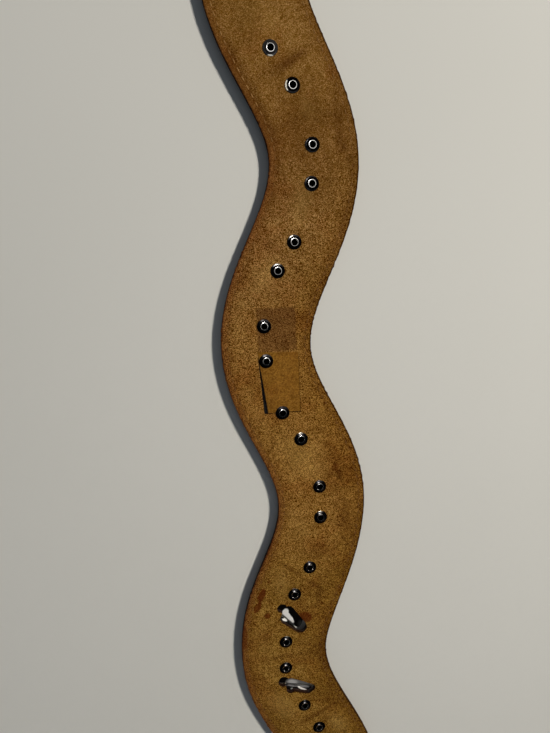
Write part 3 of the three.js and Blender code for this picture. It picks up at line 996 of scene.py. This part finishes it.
def relief(point, y, across):
    """How far the leather's face lies below its full height: round edges, seam and hollows."""
    distance = max(min(edge_distance(y, across, side) for side in (-1, 1)), 0.0)
    depth = 0.0
    if distance < EDGE_ROUNDING:
        depth += EDGE_ROUNDING - math.sqrt(EDGE_ROUNDING**2 - (EDGE_ROUNDING - distance) ** 2)
    depth += SEAM["groove"] * math.exp(-(((distance - SEAM["inset"]) / SEAM["groove_width"]) ** 2))
    _, _, hole_distance = hole_tree.find(point)
    depth += SEAM["hole"] * math.exp(-((hole_distance / SEAM["hole_width"]) ** 2))
    wave = noise.noise(point / UNDULATION["length"])
    return depth + UNDULATION["height"] * (0.5 + wave)


def strap_ply(outer, inner):
    """A ply's closed shape: its outer face in relief, its inner face flat."""
    rows = strap_rows()
    columns = strap_columns(USUAL_HALF)
    bm = bmesh.new()
    bmesh.ops.create_grid(bm, x_segments=len(columns) - 1, y_segments=len(rows) - 1, size=1)
    below = -1 if outer > inner else 1
    for vert in bm.verts:
        place = columns[round((vert.co.x + 1) / 2 * (len(columns) - 1))]
        y = rows[round((vert.co.y + 1) / 2 * (len(rows) - 1))]
        middle, across, _along, half = strap_place(y)
        reach = column_reach(place, half)
        if outer > inner:
            reach += fray(place, y)
        offset = math.copysign(reach, place)
        point = middle + across * offset
        vert.co = (point.x, point.y, outer + below * relief(point, y, offset))
    for vert in doubled(bm):
        vert.co.z = inner
    return merged(bm, 1e-3)


def post_cutters(cut, radius=POST_HOLE_RADIUS, pairs=POSTS):
    """A round cutter for each post, between two heights."""
    low, high = cut
    bm = bmesh.new()
    for post in (post for pair in pairs for post in pair):
        place = Matrix.Translation((post.x, post.y, (low + high) / 2))
        bmesh.ops.create_cone(
            bm, cap_ends=True, segments=20, radius1=radius, radius2=radius,
            depth=high - low, matrix=place,
        )
    return bm


def outline_round(discs, steps=7):
    """Points of an outline with straight sides round discs, which are listed against the clock."""
    if len(discs) == 1:
        x, y, radius = discs[0]
        count = 3 * steps - 1
        return list(arc(Vector((x, y, 0)), radius, 0, 2 * math.pi * count / (count + 1), count))
    points = []
    for index, (x, y, radius) in enumerate(discs):
        before = discs[index - 1]
        after = discs[(index + 1) % len(discs)]
        start = math.atan2(y - before[1], x - before[0]) - math.pi / 2
        end = math.atan2(after[1] - y, after[0] - x) - math.pi / 2
        if end < start:
            end += 2 * math.pi
        points += arc(Vector((x, y, 0)), radius, start, end, steps)
    return points


def slots_carved(bm, cut):
    """The ply with its slots cut out, punch by punch, a little raggedly."""
    low, high = cut
    for discs in (discs for slot in SLOTS for discs in slot):
        punch = face_of(outline_round(discs))
        bmesh.ops.subdivide_edges(punch, edges=punch.edges[:], cuts=1)
        for vert in punch.verts:
            shift = noise.noise_vector(vert.co * SLOT_RAGGED["scale"]) * SLOT_RAGGED["reach"]
            vert.co += Vector((shift.x, shift.y, 0))
        raised(punch, high - low)
        bm = carved(bm, moved(punch, Matrix.Translation((0, 0, low))))
    return bm


def nodes_called(start):
    return [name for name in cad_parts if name.startswith(start)]


def front_ply():
    bm = carved(strap_ply(FRONT_LOW, FRONT_HIGH), post_cutters(FRONT_CUT))
    bm = slots_carved(bm, FRONT_CUT)
    finished("front_strap", bm, WAXED, nodes_called("front_leather"))


def lining_ply():
    """The lining, whose points keep their distances from its left and right edge."""
    bm = carved(strap_ply(LINING_HIGH, LINING_LOW), post_cutters(LINING_CUT))
    bm = carved(slots_carved(bm, LINING_CUT), slab(WINDOW, *LINING_CUT))
    piece = finished("suede_lining", bm, SUEDE, nodes_called("back_lining"))
    attribute = piece.data.attributes.new("edges", "FLOAT_VECTOR", "POINT")
    for vert, row in zip(piece.data.vertices, attribute.data):
        y, across = strap_station(Vector((vert.co.x, vert.co.y, 0)) / MM)
        row.vector = (edge_distance(y, across, -1), edge_distance(y, across, 1), 0)


def lining_patch():
    """The patch let into the window, tight at its top and right, its other rims softened."""
    bm = slab(PATCH, LINING_LOW, PATCH_TOP)
    wear_or_painted_light = []
    for edge in bm.edges:
        ends = [vert.co for vert in edge.verts]
        on_top = min(end.z for end in ends) > PATCH_TOP - 1e-3
        left = max(end.x for end in ends) < PATCH[1][0] + 1e-3
        bottom = max(end.y for end in ends) < PATCH[1][1] + 1e-3
        if on_top and (left or bottom):
            wear_or_painted_light.append(edge)
    softened(bm, wear_or_painted_light, PATCH_RIM, 3)
    bm = carved(bm, post_cutters(LINING_CUT))
    finished("lining_patch_smooth", bm, SMOOTH_PATCH, ["lining_patch"])


# Metal
def post_shape(top):
    """A tubular post whose end is rolled outwards over the washer, with a blind bore."""
    wall = [(radius, top - depth) for radius, depth in POST_SECTION]
    outside = [(0.0, POST_FOOT), (wall[0][0], POST_FOOT)]
    inside = [(wall[-1][0], BORE_FLOOR), (0.0, BORE_FLOOR)]
    return spun(outside + wall + inside, steps=24)


def rope_shape():
    """A twisted wire along X, swept from a two-lobed section."""
    bm = bmesh.new()
    bmesh.ops.create_circle(bm, cap_ends=True, segments=14, radius=1)
    for vert in bm.verts:
        angle = math.atan2(vert.co.y, vert.co.x)
        vert.co *= ROPE["radius"] * (1 - ROPE["lobe"] + ROPE["lobe"] * math.cos(2 * angle))
    moved(bm, Matrix.Rotation(math.pi / 2, 4, "Y"))
    length = ROPE["to"] - ROPE["from"]
    bmesh.ops.spin(
        bm, geom=bm.verts[:] + bm.edges[:] + bm.faces[:], cent=(0, 0, 0), axis=(1, 0, 0),
        dvec=(length / ROPE["steps"], 0, 0), angle=math.pi * ROPE["turns"],
        steps=ROPE["steps"], use_duplicate=False,
    )
    return moved(outward(bm), Matrix.Translation((ROPE["from"], 0, 0)))


def joint_fit(number):
    return SLOT_JOINT_FITS.get(number, JOINT_FIT)


def side_point(y, side):
    """A point on a plate's left (-1) or right (1) side."""
    middle, across, _along, _half = strap_place(y)
    return middle + across * side * PLATE["half_width"]


def joint_point(number, place, side):
    """A point above (1) or below (-1) the joint with that number, so far right along it."""
    fit = joint_fit(number)
    lean = place * math.tan(math.radians(fit["lean"]))
    return joint_matrix(number) @ Vector((place, side * JOINT["gap"] / 2 - fit["drop"] + lean, 0))


def plate_outline(index):
    """Corner points of a plate, and all its points: on its joints, and along the wave between."""
    head = index
    tail = index + 1
    middle_y = (POSTS[index][0].y + POSTS[index][1].y) / 2
    corners = [
        joint_point(head, -joint_fit(head)["below"], -1),
        joint_point(tail, -joint_fit(tail)["above"], 1),
        joint_point(tail, JOINT["right"], 1),
        joint_point(head, JOINT["right"], -1),
    ]
    left = [side_point(middle_y + rise, -1) for rise in PLATE_LEFT]
    right = [side_point(middle_y + rise, 1) for rise in PLATE_RIGHT]
    return corners, [corners[0], *left, corners[1], corners[2], *right, corners[3]]


def plate_body(index):
    """The plate itself, with rounded corners and rims."""
    corners, outline = plate_outline(index)
    bm = face_of(outline)
    tips = [vert for vert in bm.verts if min((vert.co - tip).length for tip in corners) < 1e-3]
    softened(bm, tips, PLATE["rounding"], 5, affect="VERTICES")
    raised(bm, PLATE_BACK)
    rims = [edge for edge in bm.edges if abs(edge.verts[0].co.z - edge.verts[1].co.z) < 1e-3]
    softened(bm, rims, PLATE["bevel"], 4)
    return outward(bm)


def front_face(bm):
    fronts = (face for face in bm.faces if face.normal.z < -0.9)
    return max(fronts, key=lambda face: face.calc_area())


def inset(bm, thickness, depth=0.0):
    bmesh.ops.inset_region(
        bm, faces=[front_face(bm)], thickness=thickness, depth=depth, use_even_offset=True
    )


def panel_sunk(bm):
    """A shallow panel in the plate's front, inside a plain border."""
    inset(bm, PLATE["border"] / 2)
    # A tight corner's arc becomes one point here, because it would cross itself further in
    bmesh.ops.remove_doubles(bm, verts=front_face(bm).verts[:], dist=PLATE["mitre"])
    bm.normal_update()
    inset(bm, PLATE["border"] / 2)
    inset(bm, PLATE["slope"], -PLATE["recess"])
    return bm


def plate_piece(index):
    """A plate with its posts, ball and rope soldered on."""
    joint = joint_matrix(index)
    fit = joint_fit(index)
    top = HOOK_POST_TOP if index == 0 else POST_TOP
    posts = bmesh.new()
    for post in POSTS[index]:
        added(posts, moved(post_shape(top), Matrix.Translation(post)))
    bm = carved(plate_body(index), posts, "UNION")
    start = Vector((0, fit["rope"], PLATE_BACK - ROPE["radius"] + ROPE["lift"]))
    place = joint @ turned_matrix(start, math.radians(ROPE["lean"]))
    bm = carved(bm, moved(rope_shape(), place), "UNION")
    ball = bmesh.new()
    place = joint @ Matrix.Translation((*fit["ball"], BALL_RADIUS + BALL_LIFT))
    bmesh.ops.create_uvsphere(ball, u_segments=20, v_segments=12, radius=BALL_RADIUS, matrix=place)
    bm = panel_sunk(carved(bm, ball, "UNION"))
    node = f"plate_{index + 1:02d}"
    finished(f"{node}_silver", bm, SILVER, [node])


def washer_piece(index, end):
    """A ring whose brim rises towards the post like the mouth of a trumpet."""
    node = f"washer_{index + 1:02d}_{ENDS[end]}"
    bm = spun([(radius, WASHER_BASE + rise) for radius, rise in WASHER_SECTION], steps=28)
    moved(bm, Matrix.Translation(POSTS[index][end]))
    finished(f"{node}_dished", bm, GUNMETAL, [node])


def hook_side():
    """The hook's side view as a face: its strip, its bend, and its tongue coming back below."""
    start = FIRST_PAIR[1] - HOOK["foot"]
    bend = FIRST_PAIR[1] + HOOK["reach"]
    outer = HOOK_HIGH / 2
    steps = HOOK["bend_steps"]
    turns = [math.pi / 2 - math.pi * step / steps for step in range(steps + 1)]

    def bent(radius):
        return [(bend + radius * math.cos(turn), outer + radius * math.sin(turn)) for turn in turns]

    tongue = [(bend - HOOK["tongue"], 0), (bend - HOOK["tongue"], HOOK["thickness"])]
    back = bent(outer - HOOK["thickness"])[::-1]
    rows = [(start, HOOK_HIGH), *bent(outer), *tongue, *back, (start, HOOK_LOW)]
    return face_of([(0, y, z) for y, z in rows])


def hook_piece():
    """The clasp's hook: a strip with rounded ends, bent over the belt's end."""
    bm = raised(hook_side(), HOOK["width"], Vector((1, 0, 0)))
    moved(bm, Matrix.Translation((FIRST_PAIR[0] - HOOK["width"] / 2, 0, 0)))
    thickness = HOOK["thickness"]
    corners = []
    for edge in bm.edges:
        line = edge.verts[0].co - edge.verts[1].co
        if abs(abs(line.z) - thickness) < 1e-3 and line.length < thickness + 1e-3:
            corners.append(edge)
    softened(bm, corners, HOOK["corner"], 5)
    rims = [edge for edge in bm.edges if edge.calc_face_angle(0) > math.radians(60)]
    softened(bm, rims, HOOK["rim"], 3)
    bm = carved(bm, post_cutters((HOOK_LOW - 1, HOOK_HIGH + 1), HOOK["hole"], POSTS[:1]))
    finished("hook_clasp_bent", bm, SILVER, ["hook_clasp"])


front_ply()
lining_ply()
lining_patch()
stitching("stitching_back", LINING_HIGH - THREAD["sunk"], THREAD_TAN)
stitching("stitching_front", FRONT_LOW + THREAD["sunk"], THREAD_TAN)
for index in range(len(POSTS)):
    plate_piece(index)
for index in range(1, len(POSTS)):
    for end in range(len(ENDS)):
        washer_piece(index, end)
hook_piece()


# Stage, light and camera
def make_floor():
    """A wide floor, just below the belt."""
    bm = bmesh.new()
    bmesh.ops.create_grid(bm, x_segments=1, y_segments=1, size=4)
    floor = object_of("floor", bm)
    floor.data.materials.append(floor_material())
    floor.location.z = -0.0001


def area_light(name, place, target, size, power, spread=180):
    data = bpy.data.lights.new(name, "AREA")
    data.shape = "RECTANGLE"
    data.size, data.size_y = size
    data.energy = power
    data.spread = math.radians(spread)
    light = linked(name, data)
    light.location = place
    aim = Vector(target) - Vector(place)
    light.rotation_euler = aim.to_track_quat("-Z", "Y").to_euler()
    light.visible_camera = False
    return light


# Cards that only the metal reflects, rows of name, place, what it faces, size, power and spread
CARDS = [
    ("ceiling_card", (0.2, 0.29, 0.9), (0.2, 0.29, 0.0), (0.6, 0.58), 1.4, 180),
    ("wall_card", (0.2, -0.15, 0.9), (0.2, -0.15, 0.0), (0.6, 0.3), 0.26, 180),
    ("glow_card", (-0.095, 0.28, 0.88), (-0.095, 0.28, 0.0), (0.1, 0.3), 0.4, 180),
    ("lamp_card", (0.0, 0.2, 0.88), (-0.01, -0.33, 0.0), (0.35, 0.35), 0.5, 27),
]


def make_lights():
    """A soft window light for the leather and the floor, cards for the metal, and a dim room."""
    window = area_light("window_light", (0.8, 0.3, 1.15), (-0.014, -0.12, 0.0), (0.15, 0.15), 16.4)
    window.data.color = (1.0, 0.97, 0.91)
    window.visible_glossy = False
    for card in CARDS:
        area_light(*card).visible_diffuse = False
    world = bpy.data.worlds.new("studio")
    world.use_nodes = True
    nodes = Nodes(world.node_tree)
    rays = nodes.add("ShaderNodeLightPath", out=None).outputs
    direction = nodes.add("ShaderNodeTexCoord", out=0)
    _, _, rise = nodes.split(direction)
    below = nodes.range(rise, -0.4, 0.1, 0.16, 0.015)
    strength = nodes.blend(rays["Is Glossy Ray"], 0.115, below)
    strength = nodes.blend(rays["Is Camera Ray"], strength, 0.5)
    colour = nodes.mix(rays["Is Camera Ray"], (0.72, 0.84, 1.0, 1), (0.86, 0.85, 0.82, 1))
    sky = {"Color": colour, "Strength": strength}
    background = nodes.add("ShaderNodeBackground", sky)
    nodes.add("ShaderNodeOutputWorld", {"Surface": background}, out=None)
    scene.world = world


# The camera's turns in radians, its distance in millimetres and its lens
CAMERA = {"pitch": 0.1951, "yaw": 0.1618, "roll": 0.0438, "distance": 295.96, "lens": 27.01}
CAMERA_TARGET = (-14.075, -108.485, LINING_HIGH)


def make_camera():
    """The photograph's view: tilted a little, and square to nothing."""
    data = bpy.data.cameras.new("camera")
    data.sensor_width = 36
    data.lens = CAMERA["lens"]
    data.clip_start = 0.01
    data.clip_end = 20
    camera = linked("camera", data)
    turn = Matrix.Rotation(CAMERA["roll"], 4, "Z") @ Matrix.Rotation(CAMERA["pitch"], 4, "X")
    back = (turn @ Matrix.Rotation(CAMERA["yaw"], 4, "Y")).transposed()
    place = Vector(CAMERA_TARGET) + back @ Vector((0, 0, CAMERA["distance"]))
    camera.matrix_world = Matrix.Translation(place * MM) @ back
    scene.camera = camera


make_floor()
make_lights()
make_camera()
scene.view_settings.view_transform = "Standard"
